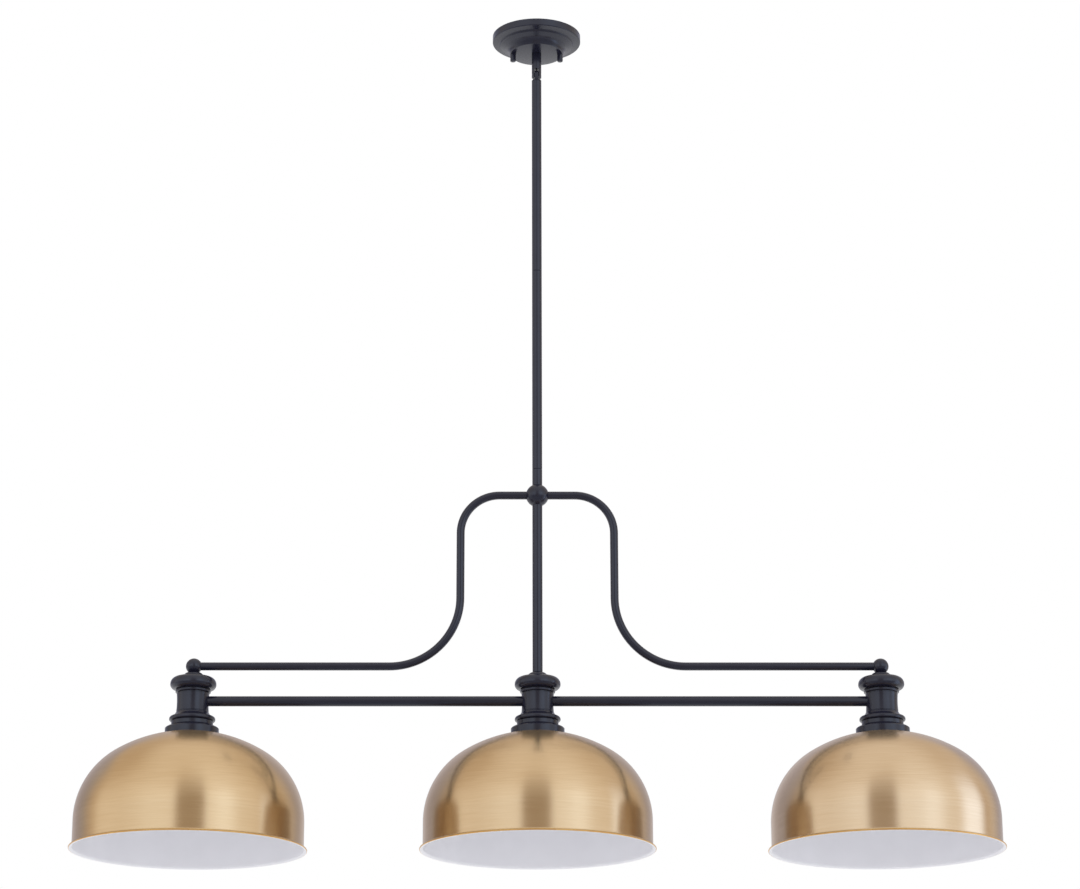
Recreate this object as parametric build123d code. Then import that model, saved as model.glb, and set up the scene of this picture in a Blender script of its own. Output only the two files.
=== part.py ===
"""Three-shade billiard light that hangs from a ceiling box on a swivelling stem.

Millimetres. Z is up and z = 0 is the ceiling. X runs along the row of shades.
"""

import math
import os

from build123d import *

os.makedirs("parts", exist_ok=True)

# Clearances
SLIP = 0.05            # radial, between pieces that are screwed or slid together
RUNNING = 0.06         # radial, between a turning piece and its bearing
SWIVEL_GAP = 0.5       # each side of the tongue in the fork

# Ceiling fitting
CANOPY_D = 132.0
CANOPY_DEPTH = 28.6
CANOPY_DISC_D = 77.0
CANOPY_SHEET = 1.2
BAR_THICK = 2.5
BAR_WIDTH = 20.0
BAR_LENGTH = 108.0
BOX_SCREW_SPACING = 88.9
BOX_SLOT_WIDTH = 4.8
BOX_SLOT_LENGTH = 12.0
STUD_SPACING = 70.8
STUD_D = 4.1
STUD_NUT_THICK = 3.2
STUD_NUT_FLATS = 8.7
CAP_NUT_D = 8.4
CAP_NUT_LENGTH = 11.6
CAP_NUT_DEPTH = 9.0
GROUND_SCREW_D = 4.0
GROUND_SCREW_Y = 24.0

# Swivel
FORK_LENGTH = 39.2
SHANK_D = 10.0
SHANK_LENGTH = 13.0
SLOT_WIDTH = 7.2
SLOT_HEIGHT = 14.1
PIVOT_D = 3.6
TONGUE_WIDTH = 10.0
COLLAR_DROP = 10.35    # pivot to the top of the knuckle's collar
COLLAR_HEIGHT = 1.8
SPIGOT_LENGTH = 14.0
WASHER_D = 20.0
WASHER_THICK = 1.2
SHANK_NUT_FLATS = 14.0
SHANK_NUT_THICK = 4.2

# Rods, hub and arms
ROD_D = 14.3
THREAD_D = 10.0        # every threaded nipple and tapped rod end
ROD_LENGTH = 304.8
HUB_DROP = 39.0        # lower rod joint to hub ball centre
HUB_BALL_D = 33.0
HUB_SEAT = 9.0         # hub ball centre to the end of each tube in it
NIPPLE_LENGTH = 24.0
HUB_NIPPLE_LENGTH = 16.0
ARM_D = 11.5
ARM_WALL = 1.2
ARM_DROP = 252.0       # hub ball centre to the lower run of the arms
ARM_RUN_X = 110.0      # stem axis to the upright run of an arm
ARM_UPPER_BEND = 56.0
ARM_LOWER_BEND = 100.0
END_BALL_D = 22.7
END_BALL_SEAT = 9.0    # end ball centre to the cap below it
END_BALL_SOCKET = 7.0  # end ball centre to the end of the arm in it
TUBE_WALL = 1.5
EDGE_BREAK = 0.5       # chamfer on rod ends, seen as the joint lines

# Columns
SHADE_SPACING = 486.0
CAP_D = 64.8
CAP_HEIGHT = 24.7
BOSS_D = 28.2
BODY_D = 44.2
BODY_HEIGHT = 46.3
BODY_BORE = 38.0
BEAD_D = 64.6
NECK_D = 58.6
TUBE_DEPTH = 16.6      # cap underside to the straight tubes' axis
SPIGOT_HEIGHT = 3.0
CUP_D = 75.6
CUP_EDGE = 10.0        # cup top to the top of its outer edge
CUP_PLATE = 3.0
CUP_WALL = 2.8
CUP_TO_CROWN = 15.5    # cup top to the top of the dome
COLUMN_NUT_FLATS = 14.0
COLUMN_NUT_THICK = 4.2
NIPPLE_BORE = 6.0
NIPPLE_STICKOUT = 5.0  # nipple above the cap

# Shades
SHADE_D = 320.6
SHADE_HEIGHT = 166.3
SHADE_WALL_HEIGHT = 39.7
SHADE_SHOULDER_SHARE = 0.8926  # shoulder radius over the dome's rise
SHADE_LIP = 4.8
SHADE_SHEET = 0.9
SHADE_PAD_D = 60.0     # flat on the crown
SHADE_HOLE_D = 41.0

# Lampholders
SOCKET_D = 40.0
SOCKET_TOP_D = 34.0
SOCKET_FLANGE_D = 52.0
SOCKET_FLANGE = 4.0
SOCKET_LENGTH = 50.0
SOCKET_FLOOR = 18.0    # socket top to the floor of its bore
SHELL_D = 29.0
SHELL_BORE = 26.6
SHELL_LENGTH = 26.0
SHELL_RECESS = 2.0
CONTACT_D = 9.0
CONTACT_THICK = 1.0
RING_D = 54.0
RING_THICK = 7.0

# Wiring
WIRE_D = 1.5
WIRE_PITCH = 1.6       # between the two leads of the stem
WIRE_BEND = 3.0
SIDE_LEAD_Y = 4.8      # leads in the straight tubes, off the tube axis
SIDE_LEAD_X = 11.5     # where a lead turns down beside the column's axis
SPLICE_Y = 9.5
SPLICE_D = 7.0
SPLICE_LENGTH = 8.8

# Heights that follow from the sizes above
Z_DISC = -CANOPY_DEPTH
Z_FORK_TOP = Z_DISC - SLIP
Z_FORK_BOTTOM = Z_FORK_TOP - FORK_LENGTH
Z_PIVOT = Z_FORK_BOTTOM + SLOT_HEIGHT / 2
Z_COLLAR_TOP = Z_PIVOT - COLLAR_DROP
Z_ROD_TOP = Z_COLLAR_TOP - COLLAR_HEIGHT
Z_JOINT_1 = Z_ROD_TOP - ROD_LENGTH
Z_JOINT_2 = Z_JOINT_1 - ROD_LENGTH
Z_HUB = Z_JOINT_2 - HUB_DROP
Z_ARM = Z_HUB - ARM_DROP
Z_CAP = Z_ARM - END_BALL_SEAT
Z_BODY = Z_CAP - CAP_HEIGHT
Z_TUBE = Z_BODY - TUBE_DEPTH
Z_CUP = Z_BODY - BODY_HEIGHT
Z_CROWN = Z_CUP - CUP_TO_CROWN
Z_RIM = Z_CROWN - SHADE_HEIGHT
Z_PLATE = Z_CUP - CUP_PLATE
Z_SOCKET = Z_PLATE - COLUMN_NUT_THICK
LEAD_BREAK = TONGUE_WIDTH / 2  # above the pivot, where the leads part so that the stem can tilt


def rod(diameter, low, high, x=0.0, y=0.0):
    """An upright cylinder between two heights."""
    return Pos(x, y, (low + high) / 2) * Cylinder(diameter / 2, high - low)


def cross_rod(diameter, start, end, y=0.0, z=0.0):
    """A cylinder along X between two stations."""
    middle = Pos((start + end) / 2, y, z)
    return middle * Rot(0, 90, 0) * Cylinder(diameter / 2, abs(end - start))


def turned(points):
    """A solid of revolution about Z from (radius, height, sagitta) points.

    The third number is the bulge of the edge that arrives at the point, to the
    left of the way along the outline.
    """
    edges = []
    for first, second in zip(points, points[1:] + points[:1]):
        bulge = second[2] if len(second) > 2 else 0
        if bulge:
            edges.append(SagittaArc(first[:2], second[:2], bulge))
        else:
            edges.append(Line(first[:2], second[:2]))
    outline = make_face(Curve() + edges)
    return revolve(Plane.XZ * outline, Axis.Z)


def chamfered_tube(outer, inner, low, high, edge):
    """An upright tube with its outer end edges broken."""
    return turned([
        (inner / 2, low),
        (outer / 2 - edge, low),
        (outer / 2, low + edge),
        (outer / 2, high - edge),
        (outer / 2 - edge, high),
        (inner / 2, high),
    ])


def hex_nut(flats, bore, low, high, x=0.0, y=0.0):
    """A plain hexagon nut on an upright axis."""
    blank = extrude(RegularPolygon(flats / 2, 6, major_radius=False), high - low)
    return Pos(x, y, low) * blank - rod(bore, low - 1, high + 1, x, y)


def swept(points, bend, diameter):
    """A wire along a polyline with rounded corners."""
    path = FilletPolyline(*points, radius=bend) if len(points) > 2 else Line(*points)
    section = Plane(origin=path @ 0, z_dir=path % 0) * Circle(diameter / 2)
    return sweep(section, path=path)


def save(name, *solids):
    """Write one node; identical pieces share a node as separate solids."""
    shape = solids[0] if len(solids) == 1 else Compound(children=list(solids))
    export_step(shape, f"parts/{name}.step")


# Crossbar: a stamped cross, slotted for the box screws and tapped for the studs
bar_middle = -BAR_THICK / 2
crossbar = Pos(0, 0, bar_middle) * Box(BAR_WIDTH, BAR_LENGTH, BAR_THICK)
crossbar += Pos(0, 0, bar_middle) * Box(STUD_SPACING + BAR_WIDTH, BAR_WIDTH * 0.8, BAR_THICK)
slot = Rot(0, 0, 90) * extrude(SlotOverall(BOX_SLOT_LENGTH, BOX_SLOT_WIDTH), BAR_THICK + 2)
for side in (-1, 1):
    crossbar -= Pos(0, side * BOX_SCREW_SPACING / 2, -BAR_THICK - 1) * slot
    crossbar -= rod(STUD_D + 2 * SLIP, -BAR_THICK - 1, 1, side * STUD_SPACING / 2)
crossbar -= rod(GROUND_SCREW_D + 2 * SLIP, -BAR_THICK - 1, 1, 0, GROUND_SCREW_Y)
save("crossbar", crossbar)

ground_screw = rod(GROUND_SCREW_D, -BAR_THICK, 0, 0, GROUND_SCREW_Y)
ground_head = rod(GROUND_SCREW_D * 2, -BAR_THICK - GROUND_SCREW_D * 0.6, -BAR_THICK, 0, GROUND_SCREW_Y)
ground_slot = Pos(0, GROUND_SCREW_Y, -BAR_THICK - GROUND_SCREW_D * 0.6)
ground_screw += ground_head
ground_screw -= ground_slot * Box(GROUND_SCREW_D * 3, GROUND_SCREW_D * 0.25, GROUND_SCREW_D * 0.5)
save("ground_screw", ground_screw)

# Studs, their nuts under the crossbar, and the cap nuts under the canopy
stud_end = Z_DISC - CAP_NUT_DEPTH + 1
studs = []
stud_nuts = []
cap_nuts = []
for side in (-1, 1):
    x = side * STUD_SPACING / 2
    studs.append(rod(STUD_D, stud_end, 0, x))
    nut_top = -BAR_THICK
    stud_nuts.append(hex_nut(STUD_NUT_FLATS, STUD_D + 2 * SLIP, nut_top - STUD_NUT_THICK, nut_top, x))
    cap_nut = turned([
        (0, Z_DISC - CAP_NUT_LENGTH),
        (CAP_NUT_D * 0.38, Z_DISC - CAP_NUT_LENGTH),
        (CAP_NUT_D / 2, Z_DISC - CAP_NUT_LENGTH + CAP_NUT_D * 0.12),
        (CAP_NUT_D / 2, Z_DISC),
        (STUD_D / 2 + SLIP, Z_DISC),
        (STUD_D / 2 + SLIP, Z_DISC - CAP_NUT_DEPTH),
        (0, Z_DISC - CAP_NUT_DEPTH),
    ])
    cap_nuts.append(Pos(x, 0, 0) * cap_nut)
save("canopy_studs", *studs)
save("stud_nuts", *stud_nuts)
save("canopy_cap_nuts", *cap_nuts)


def canopy_solid(inset):
    """The canopy's outline as a full solid, inset by the sheet for its hollow."""
    disc = CANOPY_DISC_D / 2
    span = CANOPY_D / 2 - disc
    steps = [
        (1.0, 0.0),
        (1.0, 0.30),
        (0.93, 0.367, 0.8),
        (0.72, 0.367),
        (0.69, 0.39),
        (0.68, 0.45),
        (0.61, 0.525, 0.9),
        (0.375, 0.55),
        (0.31, 0.60, -0.5),
        (0.06, 0.95, -2.0),
        (0.0, 1.0, 0.3),
    ]
    points = [(0, 0)]
    for across, down, *bulge in steps:
        radius = disc + across * span - inset
        height = -down * CANOPY_DEPTH
        points.append((radius, height + inset if down else 0, *bulge))
    points.append((0, -CANOPY_DEPTH + inset))
    return turned(points)


canopy = canopy_solid(0) - canopy_solid(CANOPY_SHEET)
canopy -= rod(SHANK_D + 2 * RUNNING, Z_DISC - 1, Z_DISC + CANOPY_SHEET + 1)
for side in (-1, 1):
    canopy -= rod(STUD_D + 0.6, Z_DISC - 1, Z_DISC + CANOPY_SHEET + 1, side * STUD_SPACING / 2)
save("canopy", canopy)

# Swivel fork: a shank through the canopy and a slotted barrel with two cheeks
fork = turned([
    (0, Z_FORK_BOTTOM),
    (ROD_D / 2 - 1, Z_FORK_BOTTOM),
    (ROD_D / 2, Z_FORK_BOTTOM + 1),
    (ROD_D / 2, Z_FORK_TOP),
    (SHANK_D / 2, Z_FORK_TOP),
    (SHANK_D / 2, Z_FORK_TOP + SHANK_LENGTH),
    (0, Z_FORK_TOP + SHANK_LENGTH),
])
fork -= rod(WIRE_PITCH + WIRE_D + 0.4, Z_FORK_BOTTOM - 1, Z_FORK_TOP + SHANK_LENGTH + 1)
fork -= Pos(0, 0, Z_FORK_BOTTOM + SLOT_HEIGHT / 2) * Box(SLOT_WIDTH, ROD_D + 2, SLOT_HEIGHT)
fork -= cross_rod(PIVOT_D, -ROD_D, ROD_D, 0, Z_PIVOT)
save("swivel_fork", fork)

washer_low = Z_DISC + CANOPY_SHEET + SLIP
washer_high = washer_low + WASHER_THICK
nut_high = washer_high + SHANK_NUT_THICK
washer = rod(WASHER_D, washer_low, washer_high) - rod(SHANK_D + 2 * SLIP, washer_low - 1, washer_high + 1)
save("swivel_washer", washer)
save("swivel_nut", hex_nut(SHANK_NUT_FLATS, SHANK_D + 2 * SLIP, washer_high, nut_high))

# Pivot pins stop short of the wire way on the stem axis
tongue_half = SLOT_WIDTH / 2 - SWIVEL_GAP
pivot_in = (WIRE_PITCH + WIRE_D) / 2 + 0.3
pivot_out = math.sqrt((ROD_D / 2) ** 2 - (PIVOT_D / 2) ** 2) - 0.1
save("swivel_pivots", *[cross_rod(PIVOT_D, side * pivot_in, side * pivot_out, 0, Z_PIVOT) for side in (-1, 1)])

lead_top = Z_FORK_TOP + SHANK_LENGTH + 4
lead_break = Z_PIVOT + LEAD_BREAK + SWIVEL_GAP
for name, side in (("swivel_line_lead", -1), ("swivel_neutral_lead", 1)):
    save(name, rod(WIRE_D, lead_break, lead_top, 0, side * WIRE_PITCH / 2))

# Knuckle: a tongue rounded about the pivot, a collar and a threaded spigot
knuckle = Pos(0, 0, Z_PIVOT) * Rot(0, 90, 0) * Cylinder(TONGUE_WIDTH / 2, 2 * tongue_half)
neck_height = Z_PIVOT - Z_COLLAR_TOP + 0.5
knuckle += Pos(0, 0, Z_PIVOT - neck_height / 2) * Box(2 * tongue_half, TONGUE_WIDTH * 0.86, neck_height)
knuckle += turned([
    (0, Z_ROD_TOP - SPIGOT_LENGTH),
    (THREAD_D / 2, Z_ROD_TOP - SPIGOT_LENGTH),
    (THREAD_D / 2, Z_ROD_TOP),
    (ROD_D / 2, Z_ROD_TOP),
    (ROD_D / 2, Z_COLLAR_TOP - 1),
    (ROD_D / 2 - 1, Z_COLLAR_TOP),
    (0, Z_COLLAR_TOP),
])
knuckle -= rod(WIRE_PITCH + WIRE_D + 0.2, Z_ROD_TOP - SPIGOT_LENGTH - 1, Z_PIVOT + TONGUE_WIDTH)
knuckle -= cross_rod(PIVOT_D + 2 * RUNNING, -ROD_D, ROD_D, 0, Z_PIVOT)
save("swivel_knuckle", knuckle)

# Stem: two equal rods and a stub, joined by nipples
rod_bore = THREAD_D + 2 * SLIP
save("upper_rod", chamfered_tube(ROD_D, rod_bore, Z_JOINT_1, Z_ROD_TOP, EDGE_BREAK))
save("lower_rod", chamfered_tube(ROD_D, rod_bore, Z_JOINT_2, Z_JOINT_1, EDGE_BREAK))
save("stub_rod", chamfered_tube(ROD_D, rod_bore, Z_HUB + HUB_SEAT, Z_JOINT_2, EDGE_BREAK))
save("centre_rod", chamfered_tube(ROD_D, rod_bore, Z_CAP, Z_HUB - HUB_SEAT, EDGE_BREAK))
rod_nipples = []
for joint in (Z_JOINT_1, Z_JOINT_2):
    low = joint - NIPPLE_LENGTH / 2
    high = joint + NIPPLE_LENGTH / 2
    rod_nipples.append(rod(THREAD_D, low, high) - rod(NIPPLE_BORE, low - 1, high + 1))
save("rod_nipples", *rod_nipples)

# Hub ball: seats for the stub, the centre rod and the two arms
hub = Pos(0, 0, Z_HUB) * Sphere(HUB_BALL_D / 2)
hub_nipples = []
hub_nipple_root = HUB_SEAT - 5.0
for side in (-1, 1):
    seat = sorted((Z_HUB + side * HUB_SEAT, Z_HUB + side * HUB_BALL_D))
    hub -= rod(ROD_D + 2 * SLIP, *seat)
    thread = sorted((Z_HUB + side * hub_nipple_root, Z_HUB + side * HUB_BALL_D))
    hub -= rod(THREAD_D + 2 * SLIP, *thread)
    hub -= cross_rod(ARM_D + 2 * SLIP, side * HUB_SEAT, side * HUB_BALL_D, 0, Z_HUB)
    low, high = sorted((Z_HUB + side * hub_nipple_root, Z_HUB + side * (hub_nipple_root + HUB_NIPPLE_LENGTH)))
    hub_nipples.append(rod(THREAD_D, low, high) - rod(NIPPLE_BORE, low - 1, high + 1))
hub -= rod(NIPPLE_BORE, Z_HUB - HUB_BALL_D, Z_HUB + HUB_BALL_D)
save("hub_ball", hub)
save("hub_nipples", *hub_nipples)

# Curved arms, from the hub ball out, down and out again to the end balls
arm_start = (HUB_SEAT, 0, Z_HUB)
upper_in = (ARM_RUN_X - ARM_UPPER_BEND, 0, Z_HUB)
upper_out = (ARM_RUN_X, 0, Z_HUB - ARM_UPPER_BEND)
lower_in = (ARM_RUN_X, 0, Z_ARM + ARM_LOWER_BEND)
lower_out = (ARM_RUN_X + ARM_LOWER_BEND, 0, Z_ARM)
arm_end = (SHADE_SPACING - END_BALL_SOCKET, 0, Z_ARM)
arm_path = Wire([
    Line(arm_start, upper_in),
    TangentArc(upper_in, upper_out, tangent=(1, 0, 0)),
    Line(upper_out, lower_in),
    TangentArc(lower_in, lower_out, tangent=(0, 0, -1)),
    Line(lower_out, arm_end),
])
arm_section = Circle(ARM_D / 2) - Circle(ARM_D / 2 - ARM_WALL)
right_arm = sweep(Plane(origin=arm_start, z_dir=(1, 0, 0)) * arm_section, path=arm_path)
save("right_arm", right_arm)
save("left_arm", mirror(right_arm, about=Plane.YZ))

# End balls stand on the outer caps and take the arms
right_ball = Pos(SHADE_SPACING, 0, Z_ARM) * Sphere(END_BALL_D / 2)
right_ball -= Pos(SHADE_SPACING, 0, Z_CAP - END_BALL_D / 2) * Box(END_BALL_D, END_BALL_D, END_BALL_D)
right_ball -= cross_rod(ARM_D + 2 * SLIP, SHADE_SPACING - END_BALL_D, SHADE_SPACING - END_BALL_SOCKET, 0, Z_ARM)
right_ball -= rod(THREAD_D + 2 * SLIP, Z_CAP - 1, Z_CAP + NIPPLE_STICKOUT + 0.5, SHADE_SPACING)
save("right_end_ball", right_ball)
save("left_end_ball", mirror(right_ball, about=Plane.YZ))

# Straight tubes between the columns, each ending just inside the column bodies
tube_inner = BODY_BORE / 2 - 2.5
tube = cross_rod(ROD_D, tube_inner, SHADE_SPACING - tube_inner, 0, Z_TUBE)
tube -= cross_rod(ROD_D - 2 * TUBE_WALL, 0, SHADE_SPACING, 0, Z_TUBE)
save("right_tube", tube)
save("left_tube", mirror(tube, about=Plane.YZ))

# Column cap: a rounded ring with a low boss and a spigot into the body
cap_round = CAP_HEIGHT - 7.5
boss = BOSS_D / 2
cap_ring = CAP_D / 2
thread_hole = THREAD_D / 2 + SLIP
body_bore = BODY_BORE / 2
cap = turned([
    (thread_hole, Z_CAP),
    (boss - 4.6, Z_CAP - 0.4),
    (boss, Z_CAP - 4.8, 1.4),
    (boss + 0.3, Z_CAP - 7.2),
    (cap_ring - 9.6, Z_CAP - 7.5),
    (cap_ring, Z_CAP - 7.5 - cap_round / 2, 2.6),
    (cap_ring - 9.6, Z_BODY, 2.6),
    (body_bore - SLIP, Z_BODY),
    (body_bore - SLIP, Z_BODY - SPIGOT_HEIGHT),
    (thread_hole, Z_BODY - SPIGOT_HEIGHT),
])

# Column body: collar and groove, a waist, then a flare into the bead
waist = BODY_D / 2
bead = BEAD_D / 2
neck = NECK_D / 2
body_blank = turned([
    (body_bore, Z_BODY),
    (waist + 2.5, Z_BODY),
    (waist + 2.5, Z_BODY - 2.2),
    (waist + 1.3, Z_BODY - 3.9, 0.2),
    (waist + 0.2, Z_BODY - 4.2),
    (waist + 0.2, Z_BODY - 4.9),
    (waist + 0.7, Z_BODY - 5.3),
    (waist + 0.7, Z_CUP + 14.6, -0.6),
    (waist + 0.4, Z_CUP + 14.2),
    (waist + 0.4, Z_CUP + 13.4),
    (waist + 1.2, Z_CUP + 12.8),
    (bead - 3.9, Z_CUP + 7.4, -0.7),
    (bead, Z_CUP + 3.9, 1.1),
    (bead - 3.2, Z_CUP + 0.5, 1.3),
    (bead - 3.6, Z_CUP),
    (body_bore, Z_CUP),
])
tube_hole = cross_rod(ROD_D + 2 * SLIP, 0, BODY_D, 0, Z_TUBE)

# Shade outline: straight wall, shoulder arc and crown arc, all tangent
wall = SHADE_D / 2
lip = wall + SHADE_LIP
rise = SHADE_HEIGHT - SHADE_WALL_HEIGHT
shoulder = SHADE_SHOULDER_SHARE * rise
shoulder_r = wall - shoulder
crown_numerator = shoulder_r ** 2 + rise ** 2 - shoulder ** 2
CROWN_R = crown_numerator / (2 * (rise - shoulder))
z_shoulder = Z_RIM + SHADE_WALL_HEIGHT
z_crown_centre = Z_CROWN - CROWN_R
lean = math.atan2(z_shoulder - z_crown_centre, shoulder_r)
pad = SHADE_PAD_D / 2


def dome_points(inset):
    """Wall top, shoulder end and pad edge of the dome, inset by the sheet."""
    bend = shoulder - inset
    crown = CROWN_R - inset
    shoulder_bulge = bend * (1 - math.cos(lean / 2))
    shoulder_end = (shoulder_r + bend * math.cos(lean), z_shoulder + bend * math.sin(lean))
    pad_edge = (pad, z_crown_centre + math.sqrt(crown ** 2 - pad ** 2))
    crown_turn = math.atan2(pad_edge[1] - z_crown_centre, pad) - lean
    crown_bulge = crown * (1 - math.cos(crown_turn / 2))
    return (wall - inset, z_shoulder), (*shoulder_end, -shoulder_bulge), (*pad_edge, -crown_bulge)


outer_wall, outer_shoulder, outer_pad = dome_points(0)
inner_wall, inner_shoulder, inner_pad = dome_points(SHADE_SHEET)
Z_PAD = outer_pad[1]
hole = SHADE_HOLE_D / 2
fillet_r = 1.6
fillet_bulge = fillet_r * (1 - math.sqrt(0.5))
inner_fillet_bulge = (fillet_r + SHADE_SHEET) * (1 - math.sqrt(0.5))
shade = turned([
    (hole, Z_PAD),
    (hole, inner_pad[1]),
    (pad, inner_pad[1]),
    (*inner_shoulder[:2], -inner_pad[2]),
    (*inner_wall, -inner_shoulder[2]),
    (wall - SHADE_SHEET, Z_RIM + SHADE_SHEET + fillet_r),
    (wall + fillet_r, Z_RIM, -inner_fillet_bulge),
    (lip - SHADE_SHEET / 2, Z_RIM),
    (lip - SHADE_SHEET / 2, Z_RIM + SHADE_SHEET, -SHADE_SHEET / 2),
    (wall + fillet_r, Z_RIM + SHADE_SHEET),
    (wall, Z_RIM + SHADE_SHEET + fillet_r, fillet_bulge),
    outer_wall,
    outer_shoulder,
    outer_pad,
])
crown_ball = Pos(0, 0, z_crown_centre) * Sphere(CROWN_R + SLIP)

# Shade cup: a plate under the body, a flared skirt that sits on the dome
cup_r = CUP_D / 2
cup_low = Z_CUP - CUP_TO_CROWN - 8
cup = turned([
    (thread_hole, Z_CUP + SPIGOT_HEIGHT),
    (body_bore - SLIP, Z_CUP + SPIGOT_HEIGHT),
    (body_bore - SLIP, Z_CUP),
    (neck, Z_CUP),
    (neck, Z_CUP - 5.2),
    (cup_r - 4.4, Z_CUP - CUP_EDGE + 2.6, -0.4),
    (cup_r - 0.8, Z_CUP - CUP_EDGE + 0.9, 0.3),
    (cup_r, Z_CUP - CUP_EDGE),
    (cup_r, cup_low),
    (cup_r - CUP_WALL, cup_low),
    (cup_r - CUP_WALL, Z_CUP - CUP_EDGE),
    (neck - CUP_WALL, Z_CUP - 6.6),
    (neck - CUP_WALL, Z_PLATE),
    (thread_hole, Z_PLATE),
])
cup -= crown_ball
for x_side in (-1, 1):
    for y_side in (-1, 1):
        hole_x = x_side * SIDE_LEAD_X
        hole_y = y_side * SIDE_LEAD_Y
        cup -= rod(WIRE_D + 0.4, Z_PLATE - 1, Z_CUP + SPIGOT_HEIGHT + 1, hole_x, hole_y)

# Column nipple, with a window at the tubes' height where the stem leads come out
nipple_low = Z_SOCKET - 6.0
nipple_high = Z_CAP + NIPPLE_STICKOUT
column_nipple = rod(THREAD_D, nipple_low, nipple_high) - rod(NIPPLE_BORE, nipple_low - 1, nipple_high + 1)
column_nipple -= Pos(0, 0, Z_TUBE + 2.5) * Box(3.6, THREAD_D + 2, 11.0)
column_nut = hex_nut(COLUMN_NUT_FLATS, THREAD_D + 2 * SLIP, Z_SOCKET, Z_PLATE)

# Lampholder: ceramic body, screw shell, centre contact and the ring under the shade
socket_low = Z_SOCKET - SOCKET_LENGTH
socket_floor = Z_SOCKET - SOCKET_FLOOR
socket = turned([
    (thread_hole, Z_SOCKET),
    (SOCKET_TOP_D / 2, Z_SOCKET),
    (SOCKET_TOP_D / 2, Z_PAD + SOCKET_FLANGE),
    (SOCKET_FLANGE_D / 2, Z_PAD + SOCKET_FLANGE),
    (SOCKET_FLANGE_D / 2, Z_PAD),
    (SOCKET_D / 2, Z_PAD),
    (SOCKET_D / 2, socket_low + 1),
    (SOCKET_D / 2 - 1, socket_low),
    (SHELL_D / 2 + SLIP, socket_low),
    (SHELL_D / 2 + SLIP, socket_floor),
    (0, socket_floor),
    (0, nipple_low - 0.5),
    (thread_hole, nipple_low - 0.5),
])
for x_side in (-1, 1):
    for y_side in (-1, 1):
        socket -= rod(WIRE_D + 0.4, Z_SOCKET - 4.5, Z_SOCKET + 1, x_side * SIDE_LEAD_X, y_side * SIDE_LEAD_Y)
shell_low = socket_low + SHELL_RECESS
shell_high = shell_low + SHELL_LENGTH
screw_shell = rod(SHELL_D, shell_low, shell_high) - rod(SHELL_BORE, shell_low - 1, shell_high + 1)
contact = turned([
    (0, socket_floor),
    (CONTACT_D / 2, socket_floor),
    (CONTACT_D / 2, socket_floor - CONTACT_THICK),
    (CONTACT_D / 4, socket_floor - CONTACT_THICK),
    (0, socket_floor - 2 * CONTACT_THICK),
])
ring_high = inner_pad[1]
shade_ring = rod(RING_D, ring_high - RING_THICK, ring_high)
shade_ring -= rod(SOCKET_D + 2 * SLIP, ring_high - RING_THICK - 1, ring_high + 1)

# One set of column, shade and lampholder pieces at each station
column_nuts = []
for name, station in (("left", -1), ("centre", 0), ("right", 1)):
    place = Pos(station * SHADE_SPACING, 0, 0)
    body = body_blank
    if station <= 0:
        body = body - tube_hole
    if station >= 0:
        body = body - Rot(0, 0, 180) * tube_hole
    save(f"{name}_column_cap", place * cap)
    save(f"{name}_column_body", place * body)
    save(f"{name}_shade_cup", place * cup)
    save(f"{name}_column_nipple", place * column_nipple)
    save(f"{name}_shade", place * shade)
    save(f"{name}_socket", place * socket)
    save(f"{name}_screw_shell", place * screw_shell)
    save(f"{name}_centre_contact", place * contact)
    save(f"{name}_shade_ring", place * shade_ring)
    column_nuts.append(place * column_nut)
save("column_nuts", *column_nuts)

# Wiring: a stem lead, a lead to each outer socket and one to the centre socket, for each pole
lead_end = Z_SOCKET - 4.0
entry = 1.8
for name, side in (("line_leads", -1), ("neutral_leads", 1)):
    stem_y = side * WIRE_PITCH / 2
    side_y = side * SIDE_LEAD_Y
    splice_y = side * SPLICE_Y
    stem_lead = swept(
        [(0, stem_y, Z_PIVOT + LEAD_BREAK - SWIVEL_GAP), (0, stem_y, Z_TUBE + entry), (0, splice_y, Z_TUBE + entry)],
        WIRE_BEND, WIRE_D)
    right_lead = swept(
        [(entry, splice_y, Z_TUBE), (entry, side_y, Z_TUBE),
         (SHADE_SPACING - SIDE_LEAD_X, side_y, Z_TUBE),
         (SHADE_SPACING - SIDE_LEAD_X, side_y, lead_end)],
        WIRE_BEND, WIRE_D)
    left_lead = mirror(right_lead, about=Plane.YZ)
    centre_lead = swept(
        [(entry, splice_y, Z_TUBE - entry), (entry, side_y, Z_TUBE - entry),
         (SIDE_LEAD_X, side_y, Z_TUBE - entry), (SIDE_LEAD_X, side_y, lead_end)],
        WIRE_BEND, WIRE_D)
    save(name, stem_lead, left_lead, right_lead, centre_lead)

splices = []
for side in (-1, 1):
    splice = Pos(0, side * (SPLICE_Y + SPLICE_LENGTH / 2), Z_TUBE) * Rot(90, 0, 0)
    splices.append(splice * Cylinder(SPLICE_D / 2, SPLICE_LENGTH))
save("wire_splices", *splices)
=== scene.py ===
"""Looks of the three-shade billiard light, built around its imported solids."""

import math

import bmesh
import bpy
from mathutils import Matrix, Vector


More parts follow.
